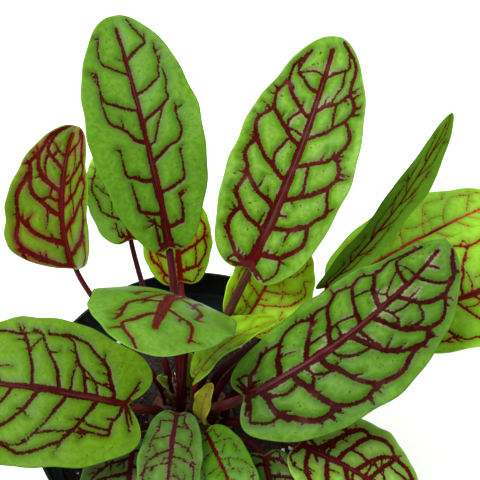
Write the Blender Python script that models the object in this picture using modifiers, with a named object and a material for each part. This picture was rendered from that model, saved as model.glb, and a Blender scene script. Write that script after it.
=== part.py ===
"""A red-veined sorrel growing in a round nursery pot.

The origin is the centre of the pot's underside, +Z is up and the plant is seen from -Y.
Lengths in the tables are millimetres; MM turns them into metres.
"""

import math
from dataclasses import dataclass

import bmesh
import bpy
import numpy as np
from mathutils import Vector

MM = 0.001
GAP = 0.3  # between two pieces that touch

# Pot
RIM_RADIUS = 65.0
POT_HEIGHT = 113.0
COLLAR_HEIGHT = 14.0
COLLAR_STEP = 2.6  # how far the wall steps in below the collar
FOOT_RADIUS = 47.0
WALL = 1.3
FOOT_RING_WIDTH = 5.0
FLOOR_RISE = 2.5  # how far the floor stands above the foot ring
BOSS_RADIUS = 9.0  # the flat middle of the underside
DRAIN_HOLES = 8
DRAIN_HOLE_RADIUS = 4.5
DRAIN_RING_RADIUS = 28.0
TURNED_STEPS = 48

# Soil and crown
SOIL_TOP = 90.0
SOIL_MOUND = 2.5  # how much higher the soil is at the crown
CROWN_RADIUS = 19.0
CROWN_RISE = 5.0
CROWN_DEPTH = 12.0

# Leaves
BLADE_THICKNESS = 0.7
STALK_DEPTH = 9.0  # how far a stalk stands in the crown
RIB_END = 0.8  # how far along the blade the rib under it runs
RIB_TIP_RADIUS = 0.5


@dataclass
class Leaf:
    """One leaf: its stalk's foot, its blade's two ends and how the blade is turned, bent and cupped."""

    name: str
    foot: tuple  # x, y where the stalk leaves the crown
    base: tuple  # x, y, z where the stalk meets the blade
    tip: tuple
    width: float
    roll: float = 0.0  # degrees about the line from base to tip, right side down
    bow: float = 5.0  # rise of the midrib above that line
    sweep: float = 0.0  # swing of the midrib to the right of it
    fold: tuple = (12.0, 12.0)  # degrees that the left and the right half rise from the midrib
    curl: tuple = (0.0, 0.0)  # degrees more by the margin
    twist: float = 0.0  # degrees from base to tip
    wave: float = 0.8  # height of the margin's waves
    waves: float = 2.5
    ear: float = 0.05  # how far the blade reaches back past the stalk, over its length
    widest: float = 0.42
    stalk: float = 1.4  # radius at the blade


LEAVES = (
    Leaf("leaf_back_left", (-4, 9), (-7, 40, 161), (-30, 110, 223), 48, sweep=1, widest=0.5, stalk=1.6),
    Leaf("leaf_back_right", (4, 9), (25, 31, 159), (60, 102, 219), 52, sweep=4, stalk=1.7),
    Leaf("leaf_left_small", (-11, 6), (-47, 37, 151), (-45, 78, 193), 50, sweep=-4, fold=(5, 50),
         twist=20, widest=0.26, ear=-0.04, stalk=1.1),
    Leaf("leaf_behind_left", (-9, 12), (-26, 58, 145), (-35, 94, 170), 32, stalk=1.1),
    Leaf("leaf_behind_low", (-1, 14), (-5, 50, 125), (-10, 92, 141), 33, stalk=1.2),
    Leaf("leaf_centre", (-4, -1), (0, 14, 164), (-6, -36, 202), 54, roll=-12, sweep=3,
         fold=(-2, -6), curl=(-8, -8), stalk=1.6),
    Leaf("leaf_left", (-12, -4), (-20, -21, 143), (-104, -14, 150), 60, fold=(-8, 5), ear=0.12, stalk=1.7),
    Leaf("leaf_right_front", (10, -4), (23, -23, 153), (99, 27, 182), 56, roll=8, sweep=7,
         fold=(-30, -8), ear=0.08, stalk=1.8),
    Leaf("leaf_right_narrow", (10, 4), (56, 28, 150), (109, 86, 193), 36, roll=-50, bow=-5,
         fold=(0, 0), stalk=1.2),
    Leaf("leaf_right_back", (9, 11), (64, 40, 134), (141, 79, 148), 40, stalk=1.3),
    Leaf("leaf_far_right", (15, 1), (85, 17, 141), (166, 33, 161), 56, stalk=1.6),
    Leaf("leaf_low_right", (14, -7), (44, -30, 129), (88, -53, 117), 40, stalk=1.4),
    Leaf("leaf_low_front", (9, -13), (31, -31, 121), (40, -80, 111), 28, bow=4, stalk=1.2),
    Leaf("leaf_front_bright", (3, -13), (8, -24, 127), (26, -64, 123), 23, stalk=1.1),
    Leaf("leaf_front_folded", (-3, -14), (-3, -18, 130), (-5, -74, 135), 24, fold=(0, 5), stalk=1.1),
    Leaf("leaf_front_left", (-9, -10), (-20, -20, 118), (-22, -74, 116), 38, bow=2, fold=(5, 0), stalk=1.3),
    Leaf("leaf_middle_pale", (5, 3), (3.5, -3, 131), (37, 13, 149), 25, roll=-30, stalk=1.0),
    Leaf("leaf_behind_right", (3, 15), (23, 26, 127), (43, 61, 144), 42, roll=30, fold=(30, 30), stalk=1.1),
    Leaf("leaf_young_yellow", (3, -7), (6, -12, 113), (11, -8, 136), 10, bow=2, stalk=0.8),
    Leaf("leaf_young_left", (-7, 4), (-9, 4, 108), (-13, 3, 121), 8, bow=1, stalk=0.7),
    Leaf("leaf_young_centre", (1, 4), (1, 7, 108), (0, 12, 128), 9, bow=1, stalk=0.7),
)


def named_collection(name, hidden=False):
    """A collection of that name in the scene; a hidden one holds the cutters."""
    collection = bpy.data.collections.new(name)
    collection.hide_render = hidden
    bpy.context.scene.collection.children.link(collection)
    return collection


def material(name, colour, roughness):
    made = bpy.data.materials.new(name)
    made.use_nodes = True
    shader = made.node_tree.nodes["Principled BSDF"]
    shader.inputs["Base Color"].default_value = (*colour, 1.0)
    shader.inputs["Roughness"].default_value = roughness
    shader.inputs["Metallic"].default_value = 0.0
    made.diffuse_color = (*colour, 1.0)
    return made


def add_object(name, data, collection, finish):
    made = bpy.data.objects.new(name, data)
    data.materials.append(finish)
    collection.objects.link(made)
    return made


def turned(name, profile, collection, finish):
    """A solid turned round Z from a profile in millimetres, run down its outer side, with both ends on the axis."""
    mesh = bpy.data.meshes.new(name)
    points = [(radius * MM, 0.0, height * MM) for radius, height in profile]
    edges = [(i, i + 1) for i in range(len(points) - 1)]
    mesh.from_pydata(points, edges, [])
    made = add_object(name, mesh, collection, finish)
    screw = made.modifiers.new("Turn", "SCREW")
    screw.steps = TURNED_STEPS
    screw.render_steps = TURNED_STEPS
    screw.use_merge_vertices = True
    screw.merge_threshold = 0.00001
    screw.use_smooth_shade = True
    return made


def cylinder(name, radius, bottom, top, place, segments, collection):
    """A cutter: an upright cylinder at place, between two heights."""
    bm = bmesh.new()
    bmesh.ops.create_cone(
        bm,
        cap_ends=True,
        segments=segments,
        radius1=radius * MM,
        radius2=radius * MM,
        depth=(top - bottom) * MM,
    )
    mesh = bpy.data.meshes.new(name)
    bm.to_mesh(mesh)
    bm.free()
    made = bpy.data.objects.new(name, mesh)
    made.location = (place[0] * MM, place[1] * MM, (top + bottom) / 2 * MM)
    made.hide_render = True
    made.display_type = "WIRE"
    collection.objects.link(made)
    return made


def cut(made, cutters):
    """Cuts every object of the collection cutters from made."""
    boolean = made.modifiers.new("Holes", "BOOLEAN")
    boolean.operation = "DIFFERENCE"
    boolean.operand_type = "COLLECTION"
    boolean.collection = cutters
    boolean.solver = "EXACT"


def wall_radius(height):
    """Outer radius of the pot's wall below the collar."""
    top = POT_HEIGHT - COLLAR_HEIGHT
    return FOOT_RADIUS + (RIM_RADIUS - COLLAR_STEP - 1.0 - FOOT_RADIUS) * height / top


def pot_profile():
    """Down the outside from the rim, along the underside to the axis, and back up the inside."""
    collar_foot = POT_HEIGHT - COLLAR_HEIGHT
    inner_floor = FLOOR_RISE + WALL
    return [
        (RIM_RADIUS - 0.4, POT_HEIGHT),
        (RIM_RADIUS, POT_HEIGHT - 0.6),
        (RIM_RADIUS, POT_HEIGHT - 2.0),
        (RIM_RADIUS - 1.0, collar_foot + 0.6),
        (RIM_RADIUS - 1.6, collar_foot),
        (wall_radius(collar_foot), collar_foot - 0.8),
        (wall_radius(1.5), 1.5),
        (wall_radius(0) - 1.0, 0.0),
        (FOOT_RADIUS - FOOT_RING_WIDTH, 0.0),
        (FOOT_RADIUS - FOOT_RING_WIDTH - 1.5, FLOOR_RISE),
        (BOSS_RADIUS + 2.0, FLOOR_RISE),
        (BOSS_RADIUS, 0.0),
        (0.0, 0.0),
    ], [
        (0.0, inner_floor),
        (FOOT_RADIUS - FOOT_RING_WIDTH - 1.0, inner_floor),
        (FOOT_RADIUS - WALL - 2.0, WALL),
        (wall_radius(3.0) - WALL, 3.0),
        (wall_radius(collar_foot) - WALL, collar_foot - 1.2),
        (RIM_RADIUS - 1.6 - WALL, collar_foot + 1.0),
        (RIM_RADIUS - WALL, POT_HEIGHT - 0.6),
        (RIM_RADIUS - WALL + 0.4, POT_HEIGHT),
        (RIM_RADIUS - 0.4, POT_HEIGHT),
    ]


def make_pot(collection, cutters, finish):
    outside, inside = pot_profile()
    pot = turned("pot", outside + inside, collection, finish)
    for index in range(DRAIN_HOLES):
        angle = 2 * math.pi * (index + 0.5) / DRAIN_HOLES
        place = (DRAIN_RING_RADIUS * math.cos(angle), DRAIN_RING_RADIUS * math.sin(angle))
        cylinder(
            f"drain_{index}", DRAIN_HOLE_RADIUS, 0.5, FLOOR_RISE + WALL + 2.0, place, 12, cutters
        )
    cut(pot, cutters)
    return pot


def crown_surface(radius):
    """Height of the crown's top at a radius."""
    return SOIL_TOP + SOIL_MOUND + CROWN_RISE * (1 - (radius / CROWN_RADIUS) ** 2)


def make_crown(collection, cutters, finish):
    rings = [CROWN_RADIUS * part for part in (0.0, 0.35, 0.65, 0.88, 1.0)]
    edge = [(radius, crown_surface(radius)) for radius in rings]
    foot = SOIL_TOP + SOIL_MOUND - CROWN_DEPTH
    profile = edge + [(CROWN_RADIUS * 0.8, foot), (0.0, foot)]
    crown = turned("crown", profile, collection, finish)
    for leaf in LEAVES:
        top = SOIL_TOP + SOIL_MOUND + CROWN_RISE + 3.0
        radius = foot_radius(leaf) + GAP + 0.15
        cylinder(f"{leaf.name}_hole", radius, top - STALK_DEPTH - 3.5, top, leaf.foot, 10, cutters)
    cut(crown, cutters)
    return crown


def make_soil(collection, finish):
    """Fills the pot up to its top, with a recess that the crown stands in."""
    recess = CROWN_RADIUS + GAP
    foot = SOIL_TOP + SOIL_MOUND - CROWN_DEPTH - GAP
    clear = WALL + 2 * GAP
    inner_floor = FLOOR_RISE + WALL + GAP
    profile = [
        (0.0, foot),
        (CROWN_RADIUS * 0.8 + GAP, foot),
        (recess, SOIL_TOP + SOIL_MOUND - 0.2),
        (recess + 12.0, SOIL_TOP + SOIL_MOUND * 0.6),
        (wall_radius(SOIL_TOP) - clear - 6.0, SOIL_TOP - 1.0),
        (wall_radius(SOIL_TOP) - clear, SOIL_TOP + 1.0),
        (wall_radius(6.0) - clear, 6.0),
        (FOOT_RADIUS - FOOT_RING_WIDTH - 2.0, inner_floor),
        (0.0, inner_floor),
    ]
    return turned("soil", profile, collection, finish)


def foot_radius(leaf):
    """A stalk is thicker where it leaves the crown."""
    return leaf.stalk * 1.25 + 0.2


def unit(vectors):
    return vectors / np.linalg.norm(vectors, axis=-1, keepdims=True)


def turn(first, second, degrees):
    """The pair of directions turned from first towards second."""
    angle = np.radians(degrees)
    cosine = np.cos(angle)[..., None]
    sine = np.sin(angle)[..., None]
    return first * cosine + second * sine, second * cosine - first * sine


def midrib_frame(leaf, along):
    """Points of the midrib at along, 0 at the base and 1 at the tip, with the directions on, right and out there."""
    along = np.asarray(along, float)
    start = np.array(leaf.base, float)
    chord = np.array(leaf.tip, float) - start
    length = np.linalg.norm(chord)
    chord_way = chord / length
    level = math.hypot(chord[0], chord[1])
    out = np.array((-chord_way[0] * chord[2], -chord_way[1] * chord[2], level)) / level
    out = unit(out - chord_way * (out @ chord_way))
    right = np.cross(chord_way, out)
    out, right = turn(out, right, np.array(leaf.roll, float))
    swing = 4 * along * (1 - along)
    slope = 4 * (1 - 2 * along)
    aside = out * leaf.bow + right * leaf.sweep
    points = start + along[..., None] * chord + swing[..., None] * aside
    on = unit(chord + slope[..., None] * aside)
    right = unit(np.cross(on, out))
    out = np.cross(right, on)
    out, right = turn(out, right, leaf.twist * (along - 0.5))
    return points, on, right, out


def half_width(leaf, q):
    """Half the blade's width over its full half width; q runs from the notch, 0, to the tip, 1."""
    skew = math.log(0.5) / math.log(leaf.widest)
    return np.sin(np.pi * np.clip(q, 0, 1) ** skew) ** 0.52


def blade_point(leaf, q, v):
    """Points of the blade's middle surface: q from base to tip, v from -1 on the left margin to 1 on the right."""
    q, v = np.broadcast_arrays(np.asarray(q, float), np.asarray(v, float))
    reach = half_width(leaf, q)
    back = 2.7 * leaf.ear * reach * (1 - q) ** 6
    along = q - back * np.abs(v) ** 1.4
    across = v * reach * leaf.width / 2
    points, _, right, out = midrib_frame(leaf, along)
    side = v > 0
    share = np.abs(across) / (leaf.width / 2)
    tilt = np.where(side, leaf.fold[1], leaf.fold[0])
    tilt = np.radians(tilt + np.where(side, leaf.curl[1], leaf.curl[0]) * share / 2)
    ripple = leaf.wave * share**2 * np.sin(2 * np.pi * leaf.waves * q + 1.3 * np.sign(v))
    aside = (across * np.cos(tilt))[..., None] * right
    return points + aside + (np.abs(across) * np.sin(tilt) + ripple)[..., None] * out


def make_blade(leaf, collection, finish):
    """A thin waved sheet: a grid laid on the leaf's surface, alike on both faces, then given its thickness."""
    length = math.dist(leaf.base, leaf.tip)
    rows = 12 if length > 70 else 9 if length > 35 else 6
    columns = 6 if leaf.width > 28 else 4
    bm = bmesh.new()
    bmesh.ops.create_grid(bm, x_segments=columns, y_segments=rows, size=1.0)
    for vertex in bm.verts:
        q = (1 - math.cos(math.pi * (vertex.co.y + 1) / 2)) / 2
        vertex.co = Vector(blade_point(leaf, q, vertex.co.x) * MM)
    bmesh.ops.remove_doubles(bm, verts=bm.verts, dist=0.00002)
    bmesh.ops.triangulate(bm, faces=bm.faces)
    mesh = bpy.data.meshes.new(leaf.name + "_blade")
    bm.to_mesh(mesh)
    bm.free()
    mesh.shade_smooth()
    blade = add_object(leaf.name + "_blade", mesh, collection, finish)
    solid = blade.modifiers.new("Thickness", "SOLIDIFY")
    solid.thickness = BLADE_THICKNESS * MM
    solid.offset = 0.0
    return blade


def stalk_path(leaf):
    """Centre points and radii of the stalk, up out of the crown and on under the blade as its midrib."""
    foot = np.array((*leaf.foot, SOIL_TOP + SOIL_MOUND + CROWN_RISE))
    seat = leaf.stalk + GAP + BLADE_THICKNESS / 2
    base, on, _, out = midrib_frame(leaf, 0.0)
    joint = base - out * seat
    reach = np.linalg.norm(joint - foot)
    rise = np.array((0.0, 0.0, 1.0)) * reach * 0.9
    run = on * reach * 0.7
    points = [foot - (0.0, 0.0, STALK_DEPTH), foot - (0.0, 0.0, STALK_DEPTH * 0.35)]
    radii = [foot_radius(leaf), foot_radius(leaf)]
    steps = 8 if reach > 45 else 5
    for index in range(1, steps + 1):
        t = index / steps
        points.append(
            (2 * t**3 - 3 * t**2 + 1) * foot
            + (t**3 - 2 * t**2 + t) * rise
            + (3 * t**2 - 2 * t**3) * joint
            + (t**3 - t**2) * run
        )
        radii.append(foot_radius(leaf) + (leaf.stalk - foot_radius(leaf)) * t**0.6)
    for share in (0.12, 0.3, 0.5, 0.68, RIB_END):
        radius = leaf.stalk + (RIB_TIP_RADIUS - leaf.stalk) * (share / RIB_END) ** 0.7
        place, _, _, out = midrib_frame(leaf, share)
        points.append(place - out * (radius + GAP + BLADE_THICKNESS / 2))
        radii.append(radius)
    return points, radii


def make_stalk(leaf, collection, finish):
    points, radii = stalk_path(leaf)
    curve = bpy.data.curves.new(leaf.name + "_stalk", "CURVE")
    curve.dimensions = "3D"
    curve.bevel_depth = MM
    curve.bevel_resolution = 1
    curve.use_fill_caps = True
    spline = curve.splines.new("POLY")
    spline.points.add(len(points) - 1)
    for point, place, radius in zip(spline.points, points, radii):
        point.co = (*(place * MM), 1.0)
        point.radius = radius
    return add_object(leaf.name + "_stalk", curve, collection, finish)


def clear_scene():
    for existing in list(bpy.data.objects):
        bpy.data.objects.remove(existing, do_unlink=True)


def main():
    clear_scene()
    plant = named_collection("potted_sorrel")
    drains = named_collection("drain_cutters", hidden=True)
    holes = named_collection("stalk_hole_cutters", hidden=True)
    make_pot(plant, drains, material("pot_plastic", (0.012, 0.016, 0.015), 0.4))
    make_soil(plant, material("soil", (0.03, 0.02, 0.014), 0.95))
    make_crown(plant, holes, material("crown_brown", (0.09, 0.035, 0.02), 0.8))
    green = material("leaf_green", (0.13, 0.33, 0.035), 0.4)
    red = material("stalk_red", (0.16, 0.008, 0.012), 0.35)
    for leaf in LEAVES:
        make_blade(leaf, plant, green)
        make_stalk(leaf, plant, red)


main()
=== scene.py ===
"""A potted red-veined sorrel, dressed round its solid model: leaves, stalks, crown, soil and pot.

Lengths are millimetres unless a name says otherwise; MM turns them into metres.
"""

import math
from dataclasses import dataclass

import bpy
import numpy as np
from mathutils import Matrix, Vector, noise


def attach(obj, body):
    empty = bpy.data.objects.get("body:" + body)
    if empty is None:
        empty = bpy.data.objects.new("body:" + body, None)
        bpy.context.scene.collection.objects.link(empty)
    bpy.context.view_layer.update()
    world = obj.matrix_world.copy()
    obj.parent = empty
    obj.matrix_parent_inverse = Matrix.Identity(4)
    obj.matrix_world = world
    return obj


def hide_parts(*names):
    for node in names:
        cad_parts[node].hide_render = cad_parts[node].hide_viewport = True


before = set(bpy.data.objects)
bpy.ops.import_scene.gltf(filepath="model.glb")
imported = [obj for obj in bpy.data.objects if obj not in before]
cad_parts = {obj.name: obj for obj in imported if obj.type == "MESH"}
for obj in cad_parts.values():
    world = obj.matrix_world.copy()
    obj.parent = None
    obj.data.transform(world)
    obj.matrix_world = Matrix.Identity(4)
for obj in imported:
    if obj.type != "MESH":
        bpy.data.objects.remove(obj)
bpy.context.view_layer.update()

MM = 0.001
GAP = 0.3  # between two solids of the model that touch

# Pot
RIM_RADIUS = 65.0
POT_HEIGHT = 113.0
COLLAR_HEIGHT = 14.0
COLLAR_STEP = 2.6
FOOT_RADIUS = 47.0
WALL = 1.3
FOOT_RING_WIDTH = 5.0
FLOOR_RISE = 2.5
BOSS_RADIUS = 9.0
DRAIN_HOLES = 8
DRAIN_HOLE_RADIUS = 4.5
DRAIN_RING_RADIUS = 28.0
WALL_MIDDLE = 60.0  # a height at which the wall's profile has a point
COLLAR_TAPER = 1.6
TURNED_STEPS = 192
SHARP_ANGLE = 38.0

# Soil and crown
SOIL_TOP = 90.0
SOIL_MOUND = 2.5
CROWN_RADIUS = 19.0
CROWN_RISE = 5.0
CROWN_DEPTH = 12.0
SHEATH_THICKNESS = 0.14

# Leaves
SOLID_BLADE = 0.7  # thickness of a blade in the model
BLADE_THICKNESS = 0.42
STALK_DEPTH = 9.0
RIB_END = 0.8
RIB_TIP_RADIUS = 0.25
CELL = 0.58  # side of one cell of a blade's mesh
FIELD_REACH = 5.0  # how far from a vein or a margin distances are measured
FULL_WIDTH = 44.0  # of the least blade whose veins have their full width; a smaller one's are finer
VEIN_DEPTH = 0.16
ROLL_HEIGHT = 0.28
RUFFLE_HEIGHT = 0.22
MARGIN_WIDTH = 4.0  # smooth strip beside the net
NICK_SHARE = 0.014  # depth of a margin's nicks over the half width
BULGE_WIDTH = 2.0  # how far from a vein the skin has risen most of the way
LATERAL_RUN = ((0, 0), (0.34, 0.27), (0.7, 0.65), (1.0, 1.12))  # a lateral's way out and on, over its reach
SIDE_SHIFT = 0.45  # how much later the right side's laterals start, over their pitch
LOOP_BULGE = 0.24
NET_MARGIN = 0.8  # share of the half width that the net keeps within

# Stage, in metres
CAMERA_PLACE = (0.0216, -0.1662, 0.4118)
CAMERA_TILT = 40.0
CAMERA_LENS = 60.0
FLOOR_SIDE = 8.0
FLOOR_GLOW = 0.09
SKY_STRENGTH = 0.78
LIGHTS_AIM = (0.02, 0.0, 0.13)
LIGHTS = (  # name, place, side, watts
    ("soft_key", (-0.45, -0.1, 1.05), 0.5, 16.5),
    ("soft_fill", (0.7, 0.4, 0.9), 0.9, 6.0),
)


@dataclass
class Leaf:
    """One leaf: its stalk's foot, its blade's two ends and how the blade is turned, bent and cupped."""

    name: str
    foot: tuple
    base: tuple
    tip: tuple
    width: float
    roll: float = 0.0
    bow: float = 5.0
    sweep: float = 0.0
    fold: tuple = (12.0, 12.0)
    curl: tuple = (0.0, 0.0)
    twist: float = 0.0
    wave: float = 0.8
    waves: float = 2.5
    ear: float = 0.05
    widest: float = 0.42
    stalk: float = 1.4


LEAVES = (
    Leaf("leaf_back_left", (-4, 9), (-7, 40, 161), (-30, 110, 223), 48, sweep=1, widest=0.5, stalk=1.6),
    Leaf("leaf_back_right", (4, 9), (25, 31, 159), (60, 102, 219), 52, sweep=4, stalk=1.7),
    Leaf("leaf_left_small", (-11, 6), (-47, 37, 151), (-45, 78, 193), 50, sweep=-4, fold=(5, 50),
         twist=20, widest=0.26, ear=-0.04, stalk=1.1),
    Leaf("leaf_behind_left", (-9, 12), (-26, 58, 145), (-35, 94, 170), 32, stalk=1.1),
    Leaf("leaf_behind_low", (-1, 14), (-5, 50, 125), (-10, 92, 141), 33, stalk=1.2),
    Leaf("leaf_centre", (-4, -1), (0, 14, 164), (-6, -36, 202), 54, roll=-12, sweep=3,
         fold=(-2, -6), curl=(-8, -8), stalk=1.6),
    Leaf("leaf_left", (-12, -4), (-20, -21, 143), (-104, -14, 150), 60, fold=(-8, 5), ear=0.12, stalk=1.7),
    Leaf("leaf_right_front", (10, -4), (23, -23, 153), (99, 27, 182), 56, roll=8, sweep=7,
         fold=(-30, -8), ear=0.08, stalk=1.8),
    Leaf("leaf_right_narrow", (10, 4), (56, 28, 150), (109, 86, 193), 36, roll=-50, bow=-5,
         fold=(0, 0), stalk=1.2),
    Leaf("leaf_right_back", (9, 11), (64, 40, 134), (141, 79, 148), 40, stalk=1.3),
    Leaf("leaf_far_right", (15, 1), (85, 17, 141), (166, 33, 161), 56, stalk=1.6),
    Leaf("leaf_low_right", (14, -7), (44, -30, 129), (88, -53, 117), 40, stalk=1.4),
    Leaf("leaf_low_front", (9, -13), (31, -31, 121), (40, -80, 111), 28, bow=4, stalk=1.2),
    Leaf("leaf_front_bright", (3, -13), (8, -24, 127), (26, -64, 123), 23, stalk=1.1),
    Leaf("leaf_front_folded", (-3, -14), (-3, -18, 130), (-5, -74, 135), 24, fold=(0, 5), stalk=1.1),
    Leaf("leaf_front_left", (-9, -10), (-20, -20, 118), (-22, -74, 116), 38, bow=2, fold=(5, 0), stalk=1.3),
    Leaf("leaf_middle_pale", (5, 3), (3.5, -3, 131), (37, 13, 149), 25, roll=-30, stalk=1.0),
    Leaf("leaf_behind_right", (3, 15), (23, 26, 127), (43, 61, 144), 42, roll=30, fold=(30, 30), stalk=1.1),
    Leaf("leaf_young_yellow", (3, -7), (6, -12, 113), (11, -8, 136), 10, bow=2, stalk=0.8),
    Leaf("leaf_young_left", (-7, 4), (-9, 4, 108), (-13, 3, 121), 8, bow=1, stalk=0.7),
    Leaf("leaf_young_centre", (1, 4), (1, 7, 108), (0, 12, 128), 9, bow=1, stalk=0.7),
)


@dataclass
class Look:
    """How one leaf is coloured and veined. Colours are 0 to 255."""

    seed: int
    green: tuple
    pale_and_sheen: tuple
    vein: tuple
    rib: float = 3.2  # width of the midrib at the base
    rib_end: float = 0.94  # where the midrib ends, over the blade's length
    laterals: int = 7  # on each side
    lean: float = 60.0  # degrees from the midrib
    spread: float = 0.72  # how far out they reach, over the half width
    bold: float = 1.0  # width of the laterals over the usual
    loops: float = 0.7  # share of the laterals that join the one above
    links: int = 1  # cross links between two laterals
    net: float = 0.5  # share of the links that reach across
    between: float = 0.4  # share of the gaps with a short lateral in them
    spurs: float = 3.0  # blind side branches on a lateral
    stain: float = 0.25  # red bleed beside the veins
    vein_sheen: float = 0.3  # whitish sheen beside the veins
    freckles: float = 0.5
    glow: float = 0.22  # light let through
    gloss: float = 0.15
    pucker: float = 0.55  # height of the domes between veins
    stalk: tuple = (74, 11, 14)


YOUNG_NET = {
    "laterals": 3, "bold": 0.3, "loops": 0.0, "links": 0, "spurs": 0.0, "vein_sheen": 0.0, "freckles": 0.1,
}
# Painted light: the leaves that sit in shade (leaf_behind_left, leaf_behind_low, leaf_right_back,
# leaf_far_right, leaf_behind_right, leaf_right_narrow) have greens and vein reds lighter than their own, to
# make up for the shade.
LOOKS = {
    "leaf_back_left": Look(
        11, (84, 136, 8), (104, 155, 30), (68, 9, 6), rib=3.7, laterals=6, bold=1.25, spread=0.56,
        loops=0.0, links=0, net=0.1, between=0.25, spurs=2.0, vein_sheen=0.12, pucker=0.6
    ),
    "leaf_back_right": Look(
        12, (94, 150, 8), (134, 180, 56), (78, 7, 5), rib=4.8, bold=1.5, spread=0.64, loops=1.0,
        net=0.4, between=0.5, spurs=6, lean=56, vein_sheen=0.65, pucker=0.95, freckles=1.0, stalk=(70, 34, 22)
    ),
    "leaf_left_small": Look(
        13, (102, 138, 2), (115, 149, 21), (90, 10, 4), rib=4.6, laterals=5, bold=1.55, spread=0.74,
        lean=48, loops=0.95, net=0.6, between=0.6, spurs=5, stain=0.9, pucker=0.8
    ),
    "leaf_behind_left": Look(
        14, (176, 240, 84), (196, 246, 112), (140, 26, 26), rib=2.8, laterals=5, loops=0.3,
        net=0.2, vein_sheen=0.1, glow=0.3
    ),
    "leaf_behind_low": Look(
        15, (178, 236, 30), (196, 244, 56), (160, 22, 6), rib=3.0, laterals=5, bold=1.3, loops=0.95,
        links=2, stain=0.6, vein_sheen=0.0, glow=0.4, stalk=(130, 14, 14)
    ),
    "leaf_centre": Look(
        16, (92, 144, 26), (110, 158, 51), (92, 22, 16), rib=6.4, rib_end=0.78, laterals=3, bold=2.0,
        spread=0.46, lean=54, loops=0.0, links=0, between=0.1
    ),
    "leaf_left": Look(
        17, (91, 136, 2), (106, 151, 19), (62, 8, 5), rib=3.6, bold=1.1, spread=0.76, loops=0.3,
        net=0.3, between=0.2, spurs=4, lean=56, vein_sheen=0.12, pucker=0.65
    ),
    "leaf_right_front": Look(
        18, (76, 127, 8), (104, 150, 42), (58, 6, 6), rib=4.8, bold=1.6, spread=0.68, loops=0.95,
        net=0.45, between=0.5, spurs=5, vein_sheen=0.6, pucker=0.95, freckles=0.8
    ),
    "leaf_right_narrow": Look(
        19, (108, 154, 36), (120, 168, 50), (96, 20, 10), rib=2.4, laterals=6, bold=0.9, spread=0.4,
        lean=40, loops=0.0, links=0, between=0.1, spurs=2.5, vein_sheen=0.0, gloss=0.0, pucker=0.12, glow=0.6
    ),
    "leaf_right_back": Look(
        20, (178, 238, 58), (190, 242, 76), (214, 78, 60), rib=2.4, bold=0.45, loops=0.4,
        net=0.2, between=0.1, spurs=0.6, stain=0.1, vein_sheen=0.0, freckles=0.1, glow=0.35
    ),
    "leaf_far_right": Look(
        21, (146, 204, 34), (164, 216, 58), (134, 10, 14), rib=3.4, laterals=8, bold=0.9, loops=0.85,
        spurs=2.5, vein_sheen=0.1, glow=0.32
    ),
    "leaf_low_right": Look(
        22, (128, 174, 56), (152, 200, 92), (80, 12, 8), rib=3.0, laterals=6, bold=1.6, loops=0.9,
        net=0.6, between=0.6, vein_sheen=0.35, pucker=0.85
    ),
    "leaf_low_front": Look(
        23, (84, 126, 30), (108, 150, 58), (66, 12, 14), rib=2.4, laterals=6, bold=1.5, loops=0.9,
        links=2, pucker=0.8
    ),
    "leaf_front_bright": Look(
        24, (88, 150, 10), (104, 166, 29), (86, 12, 12), rib=1.8, laterals=6, bold=0.7, loops=0.3,
        links=0, spurs=0.8, stain=0.1, vein_sheen=0.05, freckles=0.2
    ),
    "leaf_front_folded": Look(
        25, (84, 128, 40), (107, 150, 70), (72, 20, 34), rib=2.2, bold=1.2, loops=0.5, net=0.3
    ),
    "leaf_front_left": Look(
        26, (118, 158, 74), (142, 182, 110), (84, 26, 30), rib=2.8, bold=1.2, loops=0.6
    ),
    "leaf_middle_pale": Look(
        27, (140, 192, 20), (162, 214, 42), (150, 60, 34), rib=1.2, laterals=5, bold=0.4, loops=0.3,
        links=0, spurs=0.5, stain=0.05, vein_sheen=0.0, freckles=0.1, glow=0.3, stalk=(112, 22, 18)
    ),
    "leaf_behind_right": Look(
        28, (176, 230, 24), (196, 242, 48), (176, 52, 20), rib=1.8, laterals=6, bold=0.55, loops=0.6,
        net=0.3, stain=0.2, vein_sheen=0.0, glow=0.35, stalk=(112, 22, 18)
    ),
    "leaf_young_yellow": Look(
        29, (170, 182, 44), (192, 200, 72), (150, 100, 50), rib=0.8, stalk=(140, 80, 46), **YOUNG_NET
    ),
    "leaf_young_left": Look(
        30, (150, 190, 60), (176, 206, 92), (140, 100, 50), rib=0.7, stalk=(130, 100, 50), **YOUNG_NET
    ),
    "leaf_young_centre": Look(
        31, (140, 184, 46), (168, 202, 80), (140, 90, 50), rib=0.8, stalk=(130, 90, 50), **YOUNG_NET
    ),
}
YOUNG = ("leaf_young_yellow", "leaf_young_left", "leaf_young_centre", "leaf_middle_pale", "leaf_behind_right")


def linear(colour, strength=1.0):
    """A colour given as 0 to 255 made linear, as a shader takes it."""
    parts = [((part / 255 + 0.055) / 1.055) ** 2.4 if part > 10 else part / 255 / 12.92 for part in colour]
    return (*(min(1.0, part * strength) for part in parts), 1.0)


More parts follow.
